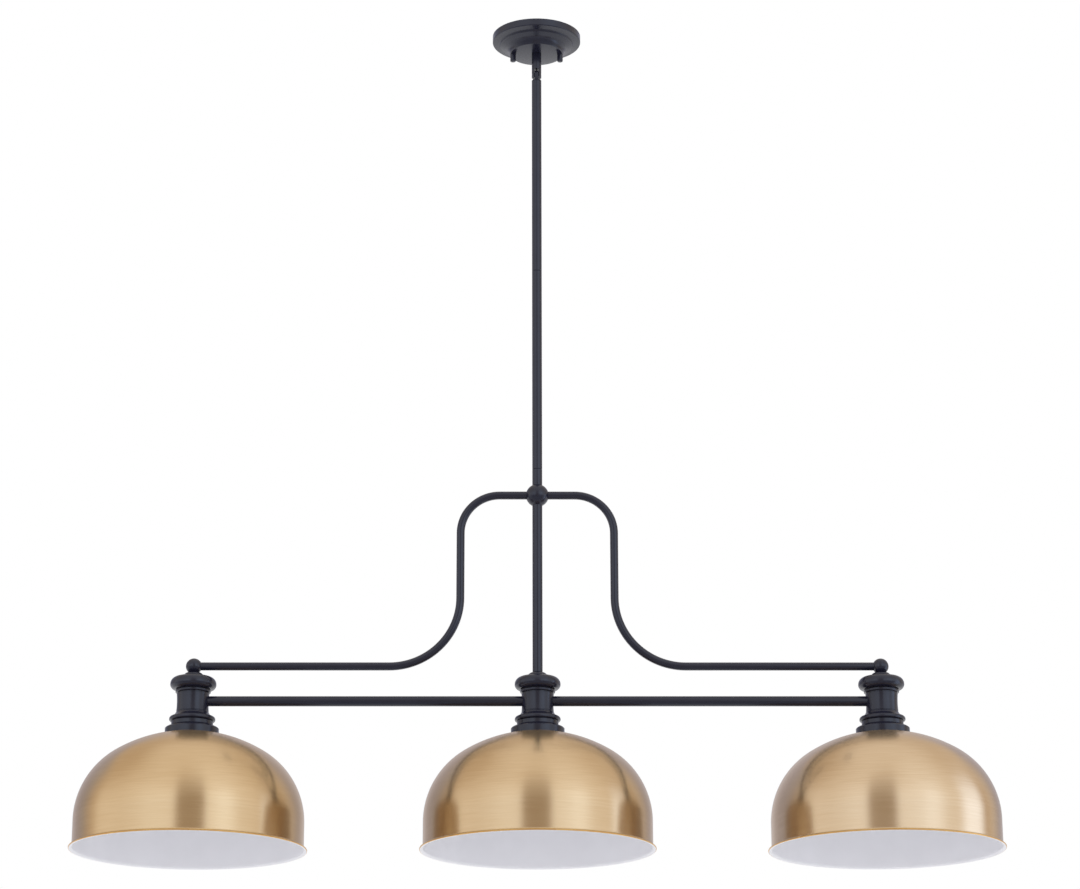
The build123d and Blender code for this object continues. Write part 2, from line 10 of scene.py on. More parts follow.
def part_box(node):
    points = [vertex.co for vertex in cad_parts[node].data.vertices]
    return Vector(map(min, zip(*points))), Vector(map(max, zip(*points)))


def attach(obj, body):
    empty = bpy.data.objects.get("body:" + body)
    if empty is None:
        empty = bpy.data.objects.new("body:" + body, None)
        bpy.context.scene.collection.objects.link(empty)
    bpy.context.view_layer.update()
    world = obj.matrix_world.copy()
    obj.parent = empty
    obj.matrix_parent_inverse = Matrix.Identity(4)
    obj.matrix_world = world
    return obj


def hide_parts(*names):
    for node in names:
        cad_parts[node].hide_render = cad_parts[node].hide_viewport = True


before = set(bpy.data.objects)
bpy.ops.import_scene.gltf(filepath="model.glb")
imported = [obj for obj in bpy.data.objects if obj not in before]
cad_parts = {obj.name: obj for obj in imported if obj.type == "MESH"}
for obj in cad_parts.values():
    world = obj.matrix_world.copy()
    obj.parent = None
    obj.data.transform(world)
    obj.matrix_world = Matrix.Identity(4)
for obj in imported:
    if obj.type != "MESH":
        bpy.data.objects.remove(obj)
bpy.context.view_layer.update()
scene = bpy.context.scene

MM = 0.001
UP = (0.0, 0.0, 1.0)
BEND_AXIS = (0.0, 1.0, 0.0)
FULL_TURN = 2 * math.pi
QUARTER_TURN = math.pi / 2


def top_of(node):
    """Height of a solid's top in millimetres."""
    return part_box(node)[1][2] / MM


def foot_of(node):
    """Height of a solid's foot in millimetres."""
    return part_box(node)[0][2] / MM


def half_height(node):
    """Half of a solid's height in millimetres."""
    return (top_of(node) - foot_of(node)) / 2


def half_depth(node):
    """Half of a solid's depth from front to back, in millimetres."""
    low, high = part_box(node)
    return (high[1] - low[1]) / 2 / MM


def middle_of(node):
    """Height of a solid's middle in millimetres."""
    return foot_of(node) + half_height(node)


def station_of(node):
    """Place of a solid's axis along the row, in metres."""
    low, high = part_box(node)
    return (low[0] + high[0]) / 2


SIDES = ("left", "centre", "right")
STATIONS = {side: station_of(f"{side}_shade") for side in SIDES}

# Heights in millimetres, read from the solids
DISC = foot_of("canopy")
HUB = middle_of("hub_ball")
CAP_TOP = top_of("centre_column_cap")
BODY_TOP = top_of("centre_column_body")
CUP_TOP = foot_of("centre_column_body")
TUBE = middle_of("left_tube")
PAD = top_of("centre_shade")
RIM = foot_of("centre_shade")


# Finishes

# The part of a noise's range over which a tone changes
TONE_START, TONE_END = 0.3, 0.7

BROAD_GRAIN = 26.0
GRAIN_HEIGHT = 0.0004

BRASS_LOW = (0.660, 0.470, 0.272)
BRASS_HIGH = (0.700, 0.510, 0.306)
# Painted light: each shade's brass is tinted for the light that falls on it, the right one paler and cooler,
# the left one a little warmer
PAINTED_LIGHT_TINT = {"left": (1.0, 0.99, 0.96), "centre": (1.0, 1.0, 1.0), "right": (1.03, 1.06, 1.15)}
BRASS_ROUGH = (0.240, 0.265)
BRUSH_STRETCH = 0.006
BRUSH_LINES = 1500.0
BRUSH_BANDS = 560.0
BRUSH_RELIEF = 0.05
BRUSH_HEIGHT = 0.0001
BRUSH_STREAK = 0.75
STREAK_TURN = 0.25


def wiring(tree):
    """A maker of nodes in a tree, each wired or set as it is made."""
    def node(kind, *plugged, operation=None, **named):
        made = tree.nodes.new(kind)
        if operation:
            made.operation = operation
        for key, value in [*enumerate(plugged), *named.items()]:
            socket = made.inputs[key if isinstance(key, int) else key.replace("_", " ")]
            if isinstance(value, bpy.types.NodeSocket):
                tree.links.new(value, socket)
            else:
                socket.default_value = value
        return made.outputs[0] if len(made.outputs) in (1, 2) else made.outputs

    return node


def finish(name):
    """A new material, its shader, its node maker and its linker."""
    material = bpy.data.materials.new(name)
    material.use_nodes = True
    tree = material.node_tree
    return material, tree.nodes["Principled BSDF"], wiring(tree), tree.links.new


def place_on(material):
    """The piece's own coordinates inside a material."""
    return material.node_tree.nodes.new("ShaderNodeTexCoord").outputs["Object"]


def shades_of(node, factor, low, high):
    """A colour that runs from low to high with the factor."""
    ramp = node("ShaderNodeValToRGB", factor)
    marks = ramp.node.color_ramp.elements
    marks[0].position = TONE_START
    marks[0].color = (*low, 1.0)
    marks[1].position = TONE_END
    marks[1].color = (*high, 1.0)
    return ramp


def spread(node, factor, low, high):
    """A number that runs from low to high with the factor."""
    return node("ShaderNodeMapRange", factor, TONE_START, TONE_END, low, high)


def coated(name, low, high, rough, grain=700.0, relief=0.02, metal=0.0, sheen=(1.0, 1.0, 1.0)):
    """A coated or plated surface with a fine grain in colour, gloss and relief."""
    material, shader, node, link = finish(name)
    place = place_on(material)
    broad = node("ShaderNodeTexNoise", place, Scale=BROAD_GRAIN, Detail=4.0)
    fine = node("ShaderNodeTexNoise", place, Scale=grain, Detail=2.0)
    link(shades_of(node, broad, low, high), shader.inputs["Base Color"])
    link(spread(node, broad, *rough), shader.inputs["Roughness"])
    bump = node("ShaderNodeBump", Strength=relief, Distance=GRAIN_HEIGHT, Height=fine)
    link(bump, shader.inputs["Normal"])
    shader.inputs["Metallic"].default_value = metal
    shader.inputs["Specular Tint"].default_value = (*sheen, 1.0)
    return material


def tinted(tone, tint):
    """A tone with each of its parts changed by a share."""
    return tuple(part * share for part, share in zip(tone, tint))


def brushed_brass(name, station, tint):
    """Brass with fine lines that run round the shade's own axis."""
    material, shader, node, link = finish(name)
    centred = node("ShaderNodeMapping", place_on(material), (-station, 0.0, 0.0))
    across, deep, high = node("ShaderNodeSeparateXYZ", centred)
    flat = node("ShaderNodeCombineXYZ", across, deep, 0.0)
    reach = node("ShaderNodeVectorMath", flat, operation="LENGTH").node.outputs["Value"]
    turn = node("ShaderNodeMath", deep, across, operation="ARCTAN2")
    stretched = node("ShaderNodeMath", turn, BRUSH_STRETCH, operation="MULTIPLY")
    lay = node("ShaderNodeCombineXYZ", reach, stretched, high)
    lines = node("ShaderNodeTexNoise", lay, Scale=BRUSH_LINES, Detail=2.0)
    bands = node("ShaderNodeTexNoise", lay, Scale=BRUSH_BANDS, Detail=3.0)
    # The tint is painted light, standing in for the different light that falls on each shade
    tones = shades_of(node, bands, tinted(BRASS_LOW, tint), tinted(BRASS_HIGH, tint))
    link(tones, shader.inputs["Base Color"])
    link(spread(node, bands, *BRASS_ROUGH), shader.inputs["Roughness"])
    bump = node("ShaderNodeBump", Strength=BRUSH_RELIEF, Distance=BRUSH_HEIGHT, Height=lines)
    link(bump, shader.inputs["Normal"])
    away = node("ShaderNodeMath", deep, -1.0, operation="MULTIPLY")
    round_axis = node("ShaderNodeVectorTransform", node("ShaderNodeCombineXYZ", away, across, 0.0))
    round_axis.node.vector_type = "VECTOR"
    round_axis.node.convert_from = "OBJECT"
    round_axis.node.convert_to = "WORLD"
    link(round_axis, shader.inputs["Tangent"])
    shader.inputs["Metallic"].default_value = 1.0
    shader.inputs["Anisotropic"].default_value = BRUSH_STREAK
    shader.inputs["Anisotropic Rotation"].default_value = STREAK_TURN
    return material


# Each finish has its low tone, its high tone and its range of roughness
black_enamel = coated("satin_black_enamel", (0.011, 0.011, 0.023), (0.014, 0.014, 0.027), (0.21, 0.24),
                      grain=900.0, relief=0.0012, sheen=(0.92, 0.96, 1.0))
# Painted shade: the rolled hem gets a deeper, darker brass than the dome, so that the lip's edge shows as a
# line of shade
hem_shade_brass = coated("hem_shade_brass", (0.70, 0.42, 0.14), (0.78, 0.48, 0.18), (0.24, 0.30), metal=1.0)
white_enamel = coated("white_enamel", (0.86, 0.86, 0.89), (0.89, 0.89, 0.92), (0.34, 0.44), grain=400.0)
zinc_plate = coated("zinc_plate", (0.52, 0.53, 0.54), (0.62, 0.62, 0.62), (0.30, 0.48), metal=1.0)
ground_green = coated("ground_screw_green", (0.03, 0.22, 0.07), (0.05, 0.28, 0.10), (0.30, 0.40))
porcelain = coated("lampholder_porcelain", (0.76, 0.75, 0.71), (0.82, 0.81, 0.78), (0.14, 0.24), grain=300.0)
shell_metal = coated("screw_shell_brass", (0.66, 0.55, 0.33), (0.76, 0.65, 0.42), (0.22, 0.36), metal=1.0)
ring_plastic = coated("shade_ring_plastic", (0.020, 0.019, 0.018), (0.028, 0.026, 0.025), (0.36, 0.5))
line_sleeve = coated("line_lead_sleeve", (0.015, 0.015, 0.015), (0.025, 0.025, 0.025), (0.4, 0.5))
neutral_sleeve = coated("neutral_lead_sleeve", (0.75, 0.75, 0.72), (0.82, 0.82, 0.80), (0.4, 0.5))
splice_plastic = coated("splice_cap_plastic", (0.68, 0.55, 0.14), (0.75, 0.62, 0.20), (0.35, 0.45))


# Ways of making pieces

WELD = 2e-6
SHARP_EDGE = math.radians(32)


def arc_sag(radius, turn):
    """Bulge of an arc of this radius that turns by this angle."""
    return radius * (1 - math.cos(turn / 2))


def seat_on_ball(radius, height):
    """Radius of a flat cut across a ball, and the bulge from there to the ball's middle."""
    turn = math.asin(height / radius)
    return math.sqrt(radius ** 2 - height ** 2), arc_sag(radius, turn)


def outline(bm, points, arc_steps):
    """A line of edges through (radius, height, bulge) points in millimetres.

    A bulge rounds the edge that arrives at its point, to the left of the way along.
    """
    last = None
    for radius, height, *bulge in points:
        here = Vector((radius, 0, height)) * MM
        if bulge:
            sag = bulge[0] * MM
            chord = here - last.co
            half = chord.length / 2
            bend = half * half / (2 * abs(sag)) + abs(sag) / 2
            left = Vector((-chord.z, 0, chord.x)).normalized()
            centre = last.co + chord / 2 + left * (sag - math.copysign(bend, sag))
            sweep = math.copysign(2 * math.asin(half / bend), sag)
            arc = bmesh.ops.spin(bm, geom=[last], cent=centre, axis=BEND_AXIS, angle=sweep, steps=arc_steps)
            last = arc["geom_last"][0]
        else:
            fresh = bm.verts.new(here)
            if last:
                bm.edges.new((last, fresh))
            last = fresh


def lathe(bm, points, steps=96, arc_steps=8, skin=0, climb=0.0):
    """Turns an outline once round the upright axis, or up a thread."""
    before = set(bm.verts)
    done = set(bm.faces)
    outline(bm, points, arc_steps)
    fresh = [v for v in bm.verts if v not in before]
    edges = {e for v in fresh for e in v.link_edges}
    bmesh.ops.spin(bm, geom=fresh + list(edges), cent=(0, 0, 0), axis=UP, dvec=(0, 0, climb * MM / steps),
                   angle=FULL_TURN, steps=steps, use_merge=not climb)
    for face in bm.faces:
        if face not in done:
            face.material_index = skin


def stand(bm, name, body, nodes, slot, *materials):
    """Closes a bmesh into a smooth piece that stands for its solids."""
    bmesh.ops.remove_doubles(bm, verts=bm.verts, dist=WELD)
    bmesh.ops.recalc_face_normals(bm, faces=bm.faces)
    mesh = bpy.data.meshes.new(name)
    bm.to_mesh(mesh)
    bm.free()
    mesh.shade_smooth()
    mesh.set_sharp_from_angle(angle=SHARP_EDGE)
    for material in materials:
        mesh.materials.append(material)
    piece = bpy.data.objects.new(name, mesh)
    scene.collection.objects.link(piece)
    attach(piece, body)
    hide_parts(*nodes)


def turned_black(name, node, points, x=0.0, steps=96, arc_steps=8):
    """A turned piece of the fixture in black enamel, which stands for one node."""
    bm = bmesh.new()
    lathe(bm, points, steps, arc_steps)
    bmesh.ops.translate(bm, verts=bm.verts, vec=(x, 0, 0))
    stand(bm, name, "fixture", [node], "black_enamel", black_enamel)


# Canopy and its cap nuts

CANOPY = 66.0
CANOPY_DISC = 38.5
CANOPY_SHEET = 1.2
CANOPY_FACETS = 128
SHANK_HOLE = 5.06
STUD_X = 35.4
CAP_NUT = 4.2
CAP_NUT_TIP = 3.0
CAP_NUT_FOOT = DISC - 11.6
CAP_NUT_SHOULDER = DISC - 10.4

# Shares of the canopy's flare and depth, with bulges in millimetres
CANOPY_STEPS = [
    (1.0, 0.0), (1.0, 0.30), (0.93, 0.375, 0.8), (0.66, 0.455), (0.62, 0.475, -0.15), (0.60, 0.52),
    (0.555, 0.545, 0.3), (0.38, 0.62), (0.06, 0.95, -1.8), (0.0, 1.0, 0.3),
]


def canopy_skin(inset):
    """The canopy's outline from its rim down to the hole for the swivel."""
    flare = CANOPY - CANOPY_DISC
    skin = []
    for across, down, *bulge in CANOPY_STEPS:
        lift = inset if down else 0
        skin.append((CANOPY_DISC + flare * across - inset, DISC * down + lift, *bulge))
    return skin + [(SHANK_HOLE, DISC + inset)]


bm = bmesh.new()
lathe(bm, canopy_skin(0), steps=CANOPY_FACETS)
lathe(bm, [(CANOPY, 0.0), *canopy_skin(CANOPY_SHEET), (SHANK_HOLE, DISC)], steps=CANOPY_FACETS)
stand(bm, "canopy_dish", "ceiling_mount", ["canopy"], "black_enamel", black_enamel)

bm = bmesh.new()
lathe(bm, [
    (0, CAP_NUT_FOOT), (CAP_NUT_TIP, CAP_NUT_FOOT), (CAP_NUT, CAP_NUT_SHOULDER, -0.35), (CAP_NUT, DISC),
    (0, DISC),
], steps=40, arc_steps=6)
bmesh.ops.translate(bm, verts=bm.verts, vec=(STUD_X * MM, 0, 0))
bmesh.ops.mirror(bm, geom=bm.verts[:] + bm.edges[:] + bm.faces[:], axis="X")
stand(bm, "cap_nut_pair", "ceiling_mount", ["canopy_cap_nuts"], "black_enamel", black_enamel)


# Swivel knuckle

ROD = 7.15
ROD_BORE = 5.05
ROD_FACETS = 64
ROD_TOP = top_of("upper_rod")
COLLAR_TOP = ROD_TOP + 1.8
COLLAR_BREAK = 0.9
SPIGOT_FOOT = foot_of("swivel_knuckle")
SPIGOT = 5.0
WIRE_WAY = 1.65
PIVOT = middle_of("swivel_pivots")
TONGUE = 5.0
TONGUE_NECK = 4.3
TONGUE_ROOT = COLLAR_TOP - 0.5
TONGUE_HALF = 3.5
TONGUE_BREAK = 1.0
RIM_ANGLE = 1.0

# Just short of a half circle
TONGUE_ROUND = 0.995 * TONGUE

bm = bmesh.new()
outline(bm, [
    (-TONGUE_NECK, TONGUE_ROOT), (TONGUE_NECK, TONGUE_ROOT), (TONGUE, PIVOT),
    (-TONGUE, PIVOT, -TONGUE_ROUND), (-TONGUE_NECK, TONGUE_ROOT),
], arc_steps=20)
bmesh.ops.remove_doubles(bm, verts=bm.verts, dist=WELD)
bmesh.ops.contextual_create(bm, geom=bm.edges[:])
plate = bmesh.ops.extrude_face_region(bm, geom=bm.faces[:])["geom"]
far_side = [g for g in plate if isinstance(g, bmesh.types.BMVert)]
bmesh.ops.translate(bm, verts=far_side, vec=(0, 2 * TONGUE_HALF * MM, 0))
bmesh.ops.translate(bm, verts=bm.verts, vec=(0, -TONGUE_HALF * MM, 0))
bmesh.ops.recalc_face_normals(bm, faces=bm.faces)
rims = [e for e in bm.edges if e.calc_face_angle(0) > RIM_ANGLE]
bmesh.ops.bevel(bm, geom=rims, offset=TONGUE_BREAK * MM, segments=3, profile=0.5, affect="EDGES", material=-1)
bmesh.ops.rotate(bm, verts=bm.verts, cent=(0, 0, 0), matrix=Matrix.Rotation(QUARTER_TURN, 3, "Z"))
lathe(bm, [
    (WIRE_WAY, SPIGOT_FOOT), (SPIGOT, SPIGOT_FOOT), (SPIGOT, ROD_TOP), (ROD, ROD_TOP),
    (ROD, COLLAR_TOP - COLLAR_BREAK), (ROD - COLLAR_BREAK, COLLAR_TOP, -0.2), (WIRE_WAY, COLLAR_TOP),
    (WIRE_WAY, SPIGOT_FOOT),
], steps=ROD_FACETS)
stand(bm, "knuckle_tongue", "fixture", ["swivel_knuckle"], "black_enamel", black_enamel)


# Stem and hub

EDGE_BREAK = 0.5
HUB_BALL = half_depth("hub_ball")
HUB_SEAT = half_height("hub_ball")

for node in ("upper_rod", "lower_rod", "stub_rod", "centre_rod"):
    low, high = foot_of(node), top_of(node)
    turned_black(f"{node}_tube", node, [
        (ROD_BORE, low), (ROD - EDGE_BREAK, low), (ROD, low + EDGE_BREAK),
        (ROD, high - EDGE_BREAK), (ROD - EDGE_BREAK, high), (ROD_BORE, high), (ROD_BORE, low),
    ], steps=ROD_FACETS)

seat_radius, seat_sag = seat_on_ball(HUB_BALL, HUB_SEAT)
turned_black("hub_turned_ball", "hub_ball", [
    (0, HUB + HUB_SEAT), (seat_radius, HUB + HUB_SEAT), (HUB_BALL, HUB, seat_sag),
    (seat_radius, HUB - HUB_SEAT, seat_sag), (0, HUB - HUB_SEAT),
], steps=72, arc_steps=20)


# Curved arms, their end balls and the straight tubes

ARM_TUBE = 5.75
ARM_FACETS = 40
ARM = foot_of("left_arm") + ARM_TUBE
ARM_START = 9.0
ARM_UPRIGHT = 110.0
UPPER_BEND = 56.0
LOWER_BEND = 100.0
BEND_STEPS = 28
ARM_END = 479.0
END_BALL = 11.35
END_BALL_SEAT = 9.0
TUBE_BORE = 5.65
TUBE_START, TUBE_END = 16.5, 469.5


def drawn_out(bm, edges, way):
    """A ring of edges drawn along a straight run, given in millimetres."""
    drawn = bmesh.ops.extrude_edge_only(bm, edges=edges)["geom"]
    verts = [g for g in drawn if isinstance(g, bmesh.types.BMVert)]
    bmesh.ops.translate(bm, verts=verts, vec=Vector(way) * MM)
    return [g for g in drawn if isinstance(g, bmesh.types.BMEdge) and set(g.verts) <= set(verts)]


def bent_round(bm, edges, centre, angle):
    """A ring of edges swung round a bend's centre, given in millimetres."""
    verts = list({v for e in edges for v in e.verts})
    swung = bmesh.ops.spin(bm, geom=edges + verts, cent=Vector(centre) * MM, axis=BEND_AXIS, angle=angle,
                           steps=BEND_STEPS)
    return [g for g in swung["geom_last"] if isinstance(g, bmesh.types.BMEdge)]


def bent_arm(bm):
    """The right arm, from the hub ball out, down and out again."""
    facing_out = Matrix.Translation(Vector((ARM_START, 0, HUB)) * MM) @ Matrix.Rotation(QUARTER_TURN, 4, "Y")
    bmesh.ops.create_circle(bm, segments=ARM_FACETS, radius=ARM_TUBE * MM, matrix=facing_out)
    ring = drawn_out(bm, bm.edges[:], (ARM_UPRIGHT - UPPER_BEND - ARM_START, 0, 0))
    ring = bent_round(bm, ring, (ARM_UPRIGHT - UPPER_BEND, 0, HUB - UPPER_BEND), QUARTER_TURN)
    ring = drawn_out(bm, ring, (0, 0, ARM + LOWER_BEND - HUB + UPPER_BEND))
    ring = bent_round(bm, ring, (ARM_UPRIGHT + LOWER_BEND, 0, ARM + LOWER_BEND), -QUARTER_TURN)
    drawn_out(bm, ring, (ARM_END - ARM_UPRIGHT - LOWER_BEND, 0, 0))
    bmesh.ops.holes_fill(bm, edges=[e for e in bm.edges if e.is_boundary], sides=64)


seat_radius, seat_sag = seat_on_ball(END_BALL, END_BALL_SEAT)

for side, sign in (("left", -1), ("right", 1)):
    bm = bmesh.new()
    bent_arm(bm)
    bmesh.ops.scale(bm, verts=bm.verts, vec=(sign, 1, 1))
    stand(bm, f"{side}_bent_arm", "fixture", [f"{side}_arm"], "black_enamel", black_enamel)

    turned_black(f"{side}_turned_end_ball", f"{side}_end_ball", [
        (0, ARM + END_BALL), (END_BALL, ARM, arc_sag(END_BALL, QUARTER_TURN)),
        (seat_radius, ARM - END_BALL_SEAT, seat_sag), (0, ARM - END_BALL_SEAT),
    ], STATIONS[side], steps=64, arc_steps=16)

    bm = bmesh.new()
    lathe(bm, [
        (TUBE_BORE, TUBE_START), (ROD, TUBE_START), (ROD, TUBE_END), (TUBE_BORE, TUBE_END),
        (TUBE_BORE, TUBE_START),
    ], steps=ROD_FACETS)
    lying = Matrix.Rotation(sign * QUARTER_TURN, 3, "Y")
    bmesh.ops.rotate(bm, verts=bm.verts, cent=(0, 0, 0), matrix=lying)
    bmesh.ops.translate(bm, verts=bm.verts, vec=(0, 0, TUBE * MM))
    stand(bm, f"{side}_straight_tube", "fixture", [f"{side}_tube"], "black_enamel", black_enamel)


# Columns

COLUMN_BORE = 19.0
CUP_BORE = 18.9

CAP_PROFILE = [
    (ROD_BORE, CAP_TOP), (8.6, CAP_TOP - 0.3), (13.9, CAP_TOP - 4.3, 0.9), (14.3, CAP_TOP - 6.6),
    (15.6, CAP_TOP - 7.4), (22.8, CAP_TOP - 7.0), (32.4, CAP_TOP - 16.1, 2.6), (22.8, BODY_TOP, 3.5),
    (ROD_BORE, BODY_TOP), (ROD_BORE, CAP_TOP),
]
BODY_PROFILE = [
    (COLUMN_BORE, BODY_TOP), (22.6, BODY_TOP), (22.6, BODY_TOP - 1.3), (24.3, BODY_TOP - 1.5),
    (24.7, BODY_TOP - 1.9), (24.7, BODY_TOP - 4.0), (23.8, BODY_TOP - 4.8, 0.15), (21.9, BODY_TOP - 5.1),
    (21.9, BODY_TOP - 6.3), (22.8, BODY_TOP - 6.8), (22.8, CUP_TOP + 14.6, -0.6), (22.5, CUP_TOP + 14.2),
    (22.5, CUP_TOP + 13.4), (23.3, CUP_TOP + 12.8), (28.4, CUP_TOP + 7.4, -0.7), (32.3, CUP_TOP + 3.9, 1.1),
    (29.1, CUP_TOP + 0.5, 1.3), (28.7, CUP_TOP), (COLUMN_BORE, CUP_TOP), (COLUMN_BORE, BODY_TOP),
]
CUP_PROFILE = [
    (CUP_BORE, CUP_TOP), (29.3, CUP_TOP), (29.3, CUP_TOP - 5.2), (33.4, CUP_TOP - 7.4, -0.4),
    (37.0, CUP_TOP - 9.1, 0.3), (37.8, CUP_TOP - 10.0), (37.8, CUP_TOP - 18.95), (35.0, CUP_TOP - 18.5),
    (35.0, CUP_TOP - 10.0), (26.5, CUP_TOP - 6.6), (26.5, CUP_TOP - 3.0), (CUP_BORE, CUP_TOP - 3.0),
    (CUP_BORE, CUP_TOP),
]

for side, x in STATIONS.items():
    turned_black(f"{side}_turned_cap", f"{side}_column_cap", CAP_PROFILE, x)
    turned_black(f"{side}_turned_body", f"{side}_column_body", BODY_PROFILE, x)
    turned_black(f"{side}_flared_cup", f"{side}_shade_cup", CUP_PROFILE, x)


# Shades

WALL = 160.3
LIP = 165.1
SHEET = 0.9
HEM = 2.0
HEM_ROUND = 0.49 * HEM
LIP_EDGE = LIP - HEM / 2
LIP_BEND = 2.6
WALL_TOP = RIM + 39.7
CROWN_TOP = RIM + 166.3
RISE = CROWN_TOP - WALL_TOP
SHOULDER = 0.8926 * RISE
SHOULDER_AXIS = WALL - SHOULDER
CROWN = (SHOULDER_AXIS ** 2 + RISE ** 2 - SHOULDER ** 2) / (2 * (RISE - SHOULDER))
CROWN_CENTRE = CROWN_TOP - CROWN
LEAN = math.atan2(WALL_TOP - CROWN_CENTRE, SHOULDER_AXIS)
PAD_EDGE = 30.0
SHADE_HOLE = 20.5
SHADE_FACETS = 160
DOME_STEPS = 24
HEM_STEPS = 10
WHITE_SKIN, HEM_SKIN = 1, 2


def dome(inset):
    """Wall, shoulder and crown of the dome from the wall's top to the pad."""
    shoulder = SHOULDER - inset
    crown = CROWN - inset
    pad_height = CROWN_CENTRE + math.sqrt(crown ** 2 - PAD_EDGE ** 2)
    crown_turn = math.atan2(pad_height - CROWN_CENTRE, PAD_EDGE) - LEAN
    shoulder_end = SHOULDER_AXIS + shoulder * math.cos(LEAN), WALL_TOP + shoulder * math.sin(LEAN)
    return [
        (WALL - inset, WALL_TOP),
        (*shoulder_end, -arc_sag(shoulder, LEAN)),
        (PAD_EDGE, pad_height, -arc_sag(crown, crown_turn)),
        (SHADE_HOLE, pad_height),
    ]


OUTER_SKIN = [
    (LIP_EDGE, RIM + HEM), (WALL + LIP_BEND, RIM + HEM),
    (WALL, RIM + HEM + LIP_BEND, arc_sag(LIP_BEND, QUARTER_TURN)), *dome(0),
]
INNER_SKIN = [
    (LIP_EDGE, RIM), (WALL + LIP_BEND, RIM),
    (WALL - SHEET, RIM + SHEET + LIP_BEND, arc_sag(SHEET + LIP_BEND, QUARTER_TURN)), *dome(SHEET),
    (SHADE_HOLE, PAD),
]
ROLLED_HEM = [(LIP_EDGE, RIM), (LIP_EDGE, RIM + HEM, -HEM_ROUND)]

for side, x in STATIONS.items():
    bm = bmesh.new()
    lathe(bm, OUTER_SKIN, SHADE_FACETS, DOME_STEPS)
    lathe(bm, INNER_SKIN, SHADE_FACETS, DOME_STEPS, skin=WHITE_SKIN)
    # The hem's skin takes the painted-shade brass
    lathe(bm, ROLLED_HEM, SHADE_FACETS, HEM_STEPS, skin=HEM_SKIN)
    bmesh.ops.translate(bm, verts=bm.verts, vec=(x, 0, 0))
    # Each shade gets its own copy of the brass, tinted as painted light for that shade
    stand(bm, f"{side}_dome_shade", "fixture", [f"{side}_shade"], "brushed_brass",
          brushed_brass(f"brushed_brass_{side}", x, PAINTED_LIGHT_TINT[side]), white_enamel, hem_shade_brass)


# Lampholders

HOLDER_TOP, HOLDER_FOOT = top_of("centre_socket"), foot_of("centre_socket")
HOLDER_FLOOR = HOLDER_TOP - 18.0
HOLDER = 20.0
HOLDER_NECK = 17.0
HOLDER_BORE = 14.55
HOLDER_BREAK = 1.4
FLANGE = 26.0
FLANGE_TOP = PAD + 4.0
FLANGE_BREAK = 0.8
SHELL_TOP, SHELL_FOOT = top_of("centre_screw_shell"), foot_of("centre_screw_shell")
SHELL = 14.5
SHELL_BORE = 13.7
SHELL_LIP = 13.35
THREAD_PITCH = 3.6
THREAD_TURNS = 6
THREAD_DEPTH = 0.38
THREAD_START = SHELL_FOOT + 0.8
SHELL_FACETS = 64
RING_TOP, RING_FOOT = top_of("centre_shade_ring"), foot_of("centre_shade_ring")
RING = 27.0
RING_BORE = 20.05
RING_BREAK = 1.0
GRIP_REACH = 26.2
GRIP_EDGE = 0.3
GRIP_DEPTH = 0.6

# Least area of a grip's face, and the most that it may look up or down
GRIP_FACE = 8e-6
GRIP_TILT = 0.2

HOLDER_PROFILE = [
    (ROD_BORE, HOLDER_TOP), (HOLDER_NECK, HOLDER_TOP), (HOLDER_NECK, FLANGE_TOP),
    (FLANGE - FLANGE_BREAK, FLANGE_TOP), (FLANGE, FLANGE_TOP - FLANGE_BREAK, 0.23), (FLANGE, PAD),
    (HOLDER, PAD), (HOLDER, HOLDER_FOOT + HOLDER_BREAK), (HOLDER - HOLDER_BREAK, HOLDER_FOOT, 0.4),
    (HOLDER_BORE, HOLDER_FOOT), (HOLDER_BORE, HOLDER_FLOOR), (ROD_BORE, HOLDER_FLOOR), (ROD_BORE, HOLDER_TOP),
]
SHELL_PROFILE = [
    (SHELL_BORE, SHELL_TOP), (SHELL, SHELL_TOP), (SHELL, SHELL_FOOT), (SHELL_LIP, SHELL_FOOT),
    (SHELL_LIP, THREAD_START), (SHELL_BORE, THREAD_START),
]
RING_PROFILE = [
    (RING_BORE, RING_TOP), (RING, RING_TOP), (RING, RING_FOOT + RING_BREAK),
    (RING - RING_BREAK, RING_FOOT, 0.3), (RING_BORE, RING_FOOT), (RING_BORE, RING_TOP),
]


def thread_wave():
    """The screw thread's outline, in and out once for each turn."""
    wave = [(SHELL_BORE, THREAD_START)]
    for turn in range(THREAD_TURNS):
        start = THREAD_START + THREAD_PITCH * turn
        wave.append((SHELL_BORE, start + THREAD_PITCH / 2, THREAD_DEPTH))
        wave.append((SHELL_BORE, start + THREAD_PITCH, -THREAD_DEPTH))
    return wave


def is_grip(face):
    """Whether a face of the ring is on its outside and large enough for a grip."""
    outside = face.calc_center_median().xy.length > GRIP_REACH * MM
    return outside and face.calc_area() > GRIP_FACE and face.normal.z ** 2 < GRIP_TILT


for side, x in STATIONS.items():
    bm = bmesh.new()
    lathe(bm, HOLDER_PROFILE, steps=72, arc_steps=6)
    bmesh.ops.translate(bm, verts=bm.verts, vec=(x, 0, 0))
    stand(bm, f"{side}_ceramic_holder", "fixture", [f"{side}_socket"], "porcelain", porcelain)

    bm = bmesh.new()
    lathe(bm, SHELL_PROFILE, steps=SHELL_FACETS)
    lathe(bm, thread_wave(), steps=SHELL_FACETS, arc_steps=5, climb=THREAD_PITCH)
    bmesh.ops.translate(bm, verts=bm.verts, vec=(x, 0, 0))
    stand(bm, f"{side}_threaded_shell", "fixture", [f"{side}_screw_shell"], "shell_brass", shell_metal)

    bm = bmesh.new()
    lathe(bm, RING_PROFILE, steps=72, arc_steps=4)
    grips = [face for face in bm.faces if is_grip(face)]
    bmesh.ops.inset_individual(bm, faces=grips[::2], thickness=GRIP_EDGE * MM, depth=-GRIP_DEPTH * MM)
    bmesh.ops.translate(bm, verts=bm.verts, vec=(x, 0, 0))
    stand(bm, f"{side}_grip_ring", "fixture", [f"{side}_shade_ring"], "ring_black", ring_plastic)


# Finishes of the solids that stay

